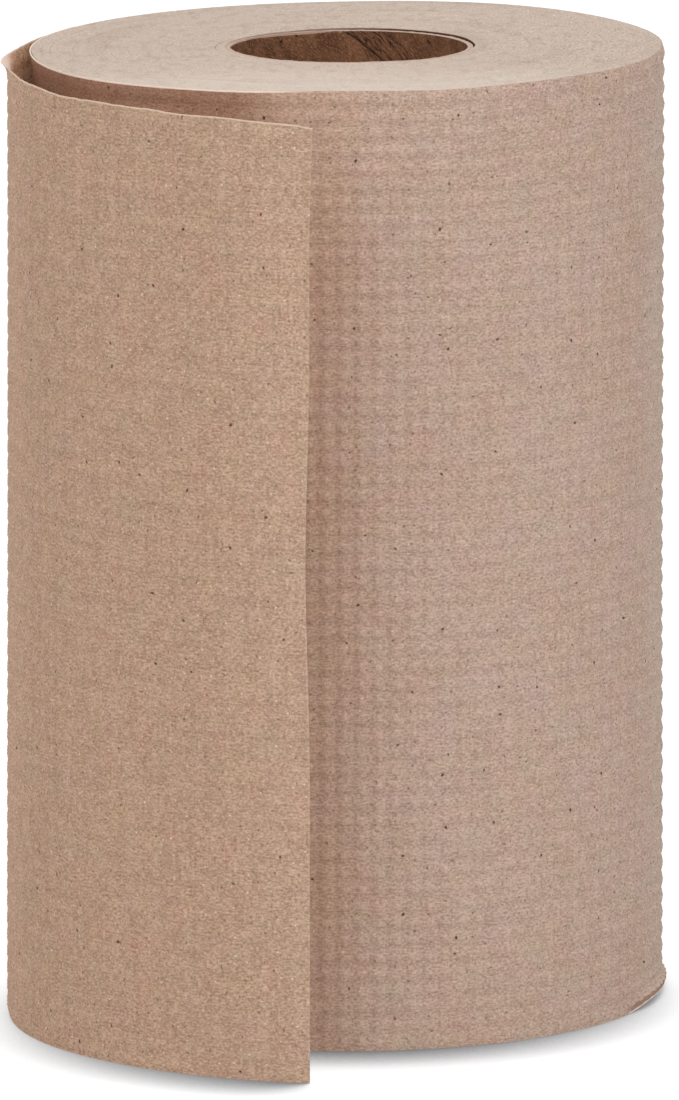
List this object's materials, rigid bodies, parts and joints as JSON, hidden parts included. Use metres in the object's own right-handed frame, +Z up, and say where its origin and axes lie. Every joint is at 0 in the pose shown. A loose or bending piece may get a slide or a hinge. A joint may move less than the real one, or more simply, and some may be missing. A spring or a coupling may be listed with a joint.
{
  "type": "paper towel roll",
  "caption": "Brown embossed paper towel roll wound on an open board tube, with its outermost turn come loose.",
  "frame": {"origin": "the tube's axis at the roll's base", "axes": "+Z up the tube's axis; -Y is the front, where the loose turn's free edge is"},
  "size_m": [0.1391, 0.1739, 0.2032],
  "materials": {
    "towel_paper": "matt embossed unbleached paper",
    "core_board": "matt spiral-wound board"
  },
  "bodies": {
    "root": {"paper_roll": "towel_paper", "core_tube": "core_board"}
  },
  "joints": []
}
